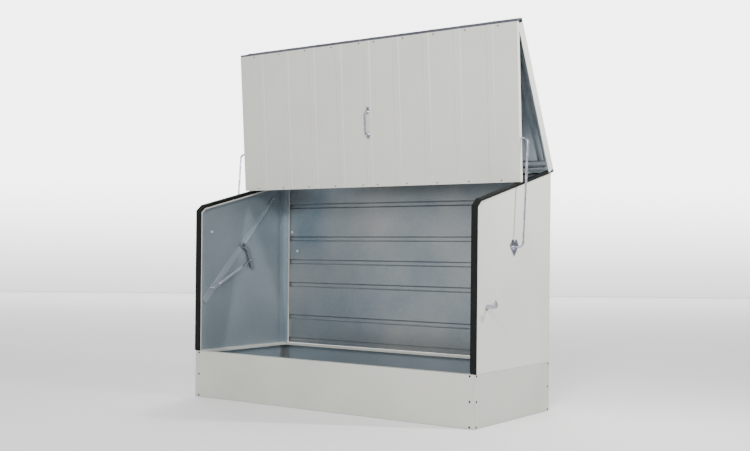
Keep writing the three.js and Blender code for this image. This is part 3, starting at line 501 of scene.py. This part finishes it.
def roof_point(x, along, outward):
    """A point above the roof, from the hinge towards the front edge."""
    return ROOF_HINGE + ROOF_TURN @ Vector((x, along, -outward))


SCREW_HEAD = round_head("screw_head", 4.5 * MM, 2.4 * MM, 12)
BASE_HEAD = round_head("base_screw_head", 5.6 * MM, 2.8 * MM, 12)
BOLT_HEAD = round_head("bolt_head", 9.0 * MM, 4.5 * MM, 16)

# Door and roof: a screw beside each swage, on its outer side, and one on each side of the middle swage
SCREW_FROM_SWAGE = 0.052
columns = []
for k in range(-SWAGES_EACH_SIDE, SWAGES_EACH_SIDE + 1):
    sides = (-1, 1) if k == 0 else (k // abs(k),)
    columns += [k * SWAGE_PITCH + side * SCREW_FROM_SWAGE for side in sides]

DOOR_SCREW_ROWS = (0.012, DOOR_HEIGHT - 0.012)
heads(
    "door_screws",
    [(door_point(x, DOOR_FACE + SEAT, down), DOOR_OUT) for down in DOOR_SCREW_ROWS for x in columns],
    SCREW_HEAD, SCREW, "door",
)
ROOF_SCREW_ROWS = (0.013, ROOF_LENGTH - 0.017)
heads(
    "roof_screws",
    [(roof_point(x, along, ROOF_FACE + SEAT), ROOF_OUT) for along in ROOF_SCREW_ROWS for x in columns],
    SCREW_HEAD, SCREW, "roof",
)

# Plinth: three screws up each edge of its corners
PLINTH_SCREW_HEIGHTS = (0.0095, 0.1357, 0.262)
FRONT_SCREW_X = HALF_WIDTH - 0.029
SIDE_SCREW_Y = HALF_DEPTH - 0.017
plinth_screws = []
for height in PLINTH_SCREW_HEIGHTS:
    for end in (-1, 1):
        for side in (-1, 1):
            on_front_or_rear = Vector((end * FRONT_SCREW_X, side * (HALF_DEPTH + SEAT), height))
            on_side = Vector((side * (HALF_WIDTH + SEAT), end * SIDE_SCREW_Y, height))
            plinth_screws.append((on_front_or_rear, Vector((0, side, 0))))
            plinth_screws.append((on_side, Vector((side, 0, 0))))
heads("plinth_screws", plinth_screws, BASE_HEAD, BASE_SCREW, "cabinet")

# Bolts inside, near white as a painted highlight: one on each side wall, two near each end of the rear wall
SIDE_BOLT_YZ = (-0.282, 0.983)
REAR_BOLTS_XZ = ((0.850, 0.870), (0.894, 0.994))
wall_bolts = []
for side in (-1, 1):
    wall_bolts.append((Vector((side * (HALF_WIDTH - SHEET), *SIDE_BOLT_YZ)), Vector((-side, 0, 0))))
    for x, z in REAR_BOLTS_XZ:
        wall_bolts.append((Vector((side * x, REAR_WALL_FACE_Y, z)), Vector((0, -1, 0))))
heads("wall_bolts", wall_bolts, BOLT_HEAD, BOLT_ZINC_PAINTED_BRIGHT, "cabinet")

# Handle: one screw through each foot
HANDLE_SCREW_ROWS = (0.3925, 0.5495)
heads(
    "handle_screws",
    [(door_point(0, HANDLE_FOOT_FACE + SEAT, down), DOOR_OUT) for down in HANDLE_SCREW_ROWS],
    SCREW_HEAD, SCREW, "door",
)


# Seal on the rear rail, cut out at the three hinges. It closes the gap below the roof's rear edge.

SEAL_HALF_WIDTH = 4.2 * MM
SEAL_HEIGHT = 9.4 * MM
SEAL_RUNS = ((-0.950, -0.770), (-0.670, -0.050), (0.050, 0.670), (0.770, 0.950))
SEAL_SIDES = 10


def seal_mesh(name):
    """Straight lengths of a strip with a flat foot and a round back."""
    bends = [math.pi * k / SEAL_SIDES for k in range(SEAL_SIDES + 1)]
    outline = [(-SEAL_HALF_WIDTH * math.cos(bend), SEAL_HEIGHT * math.sin(bend)) for bend in bends]
    count = len(outline)
    foot = RAIL_TOP_Z + SEAT
    points = []
    faces = []
    for start, end in SEAL_RUNS:
        first = len(points)
        second = first + count
        points += [(x, RAIL_TOP_Y + y, foot + z) for x in (start, end) for y, z in outline]
        faces += [
            (first + k, first + (k + 1) % count, second + (k + 1) % count, second + k)
            for k in range(count)
        ]
        faces.append(tuple(range(second - 1, first - 1, -1)))
        faces.append(tuple(range(second, second + count)))
    mesh = bpy.data.meshes.new(name)
    mesh.from_pydata(points, [], faces)
    mesh.materials.append(RUBBER)
    return mesh


seal = bpy.data.objects.new("hinge_seal", seal_mesh("hinge_seal"))
bpy.context.collection.objects.link(seal)
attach(seal, "cabinet")


# Camera, at the photo's view

PHOTO_WIDTH, PHOTO_HEIGHT = 750, 451
FOCAL_PIXELS = 1060.36
CENTRE_ROW = 250.0    # Row of the photo that the lens's axis meets
CAMERA_AT = Vector((3.5848, -4.9584, 0.8839))
CAMERA_YAW, CAMERA_PITCH, CAMERA_ROLL = 0.6184, -0.0002, 0.0095

camera_data = bpy.data.cameras.new("photo_view")
camera = bpy.data.objects.new("photo_view", camera_data)
bpy.context.collection.objects.link(camera)
camera_data.sensor_fit = "HORIZONTAL"
camera_data.sensor_width = 36
camera_data.lens = FOCAL_PIXELS * camera_data.sensor_width / PHOTO_WIDTH
camera_data.shift_y = (CENTRE_ROW - PHOTO_HEIGHT / 2) / PHOTO_WIDTH
forward = Vector((
    -math.sin(CAMERA_YAW) * math.cos(CAMERA_PITCH),
    math.cos(CAMERA_YAW) * math.cos(CAMERA_PITCH),
    math.sin(CAMERA_PITCH),
))
right = Vector((math.cos(CAMERA_YAW), math.sin(CAMERA_YAW), 0))
up = right.cross(forward)
rolled_right = math.cos(CAMERA_ROLL) * right + math.sin(CAMERA_ROLL) * up
rolled_up = math.cos(CAMERA_ROLL) * up - math.sin(CAMERA_ROLL) * right
turn = Matrix((rolled_right, rolled_up, -forward)).transposed()
camera.matrix_world = Matrix.Translation(CAMERA_AT) @ turn.to_4x4()
bpy.context.scene.camera = camera


# Floor and backdrop

FLOOR_REACH = 30
FLOOR_DROP = 0.5 * MM
BACKDROP_REACH = 12
BACKDROP_FOOT, BACKDROP_TOP = -0.5, 11
BACKDROP_AT = (-8.7, 12.2, 0)
PAPER_BRIGHT_FROM = 2.6    # Height from which the lit paper is at its brightest
FLOOR_LIKE_GLOW, FULL_GLOW = 0.9, 4.2

floor_paper, tree, _ = new_material("studio_floor")
set_surface(tree, Base_Color=linear("#f4f4f4"), Roughness=0.9)

# The paper is as bright as the floor at its foot and brightens upwards, as a lit sweep does
lit_paper, tree, coords = new_material("lit_paper")
height = add_node(tree, "ShaderNodeSeparateXYZ", Vector=(coords, "Object"))
glow = add_node(
    tree, "ShaderNodeMapRange", {"interpolation_type": "SMOOTHSTEP"},
    Value=(height, "Z"), From_Max=PAPER_BRIGHT_FROM, To_Min=FLOOR_LIKE_GLOW, To_Max=FULL_GLOW,
)
set_surface(
    tree, Roughness=0.9, Emission_Color=linear("#ffffff"), Emission_Strength=(glow, "Result"),
)


def stage_sheet(name, corners, paper, place, turned=0.0):
    mesh = bpy.data.meshes.new(name)
    mesh.from_pydata(corners, [], [(0, 1, 2, 3)])
    mesh.materials.append(paper)
    sheet = bpy.data.objects.new(name, mesh)
    bpy.context.collection.objects.link(sheet)
    sheet.location = place
    sheet.rotation_euler.z = turned


stage_sheet(
    "studio_floor",
    [(x * FLOOR_REACH, y * FLOOR_REACH, 0) for x, y in ((-1, -1), (1, -1), (1, 1), (-1, 1))],
    floor_paper, (0, 0, -FLOOR_DROP),
)
stage_sheet(
    "studio_backdrop",
    [
        (-BACKDROP_REACH, 0, BACKDROP_FOOT), (BACKDROP_REACH, 0, BACKDROP_FOOT),
        (BACKDROP_REACH, 0, BACKDROP_TOP), (-BACKDROP_REACH, 0, BACKDROP_TOP),
    ],
    lit_paper, BACKDROP_AT, CAMERA_YAW,
)


# Light: a room that is brighter in front and above, and two lamps

TO_WINDOWS = (0.10, -0.85, 0.52)
DIM_SIDE, WINDOW_SIDE = 0.10, 1.02
# Name, place, target, side of the square lamp, and power in watts
LAMPS = [
    ("side_light", (2.30, 0.25, 2.12), (0.96, 0.0, 1.0), 0.04, 45),
    ("front_light", (2.3, -3.9, 2.9), (0.2, 0.0, 1.2), 0.8, 172),
]

world = bpy.data.worlds.new("studio")
world.use_nodes = True
room = world.node_tree
heading = add_node(room, "ShaderNodeTexCoord")
to_windows = add_node(
    room, "ShaderNodeVectorMath", {"operation": "DOT_PRODUCT"},
    i0=(heading, "Generated"), i1=TO_WINDOWS,
)
strength = add_node(
    room, "ShaderNodeMapRange",
    Value=(to_windows, "Value"), From_Min=-1.0, To_Min=DIM_SIDE, To_Max=WINDOW_SIDE,
)
room.links.new(strength.outputs["Result"], room.nodes["Background"].inputs["Strength"])
room.nodes["Background"].inputs["Color"].default_value = linear("#ffffff")
bpy.context.scene.world = world

for name, place, target, side, watts in LAMPS:
    lamp = bpy.data.lights.new(name, "AREA")
    lamp.size = side
    lamp.energy = watts
    item = bpy.data.objects.new(name, lamp)
    item.location = place
    item.rotation_euler = (Vector(target) - Vector(place)).to_track_quat("-Z", "Y").to_euler()
    bpy.context.collection.objects.link(item)
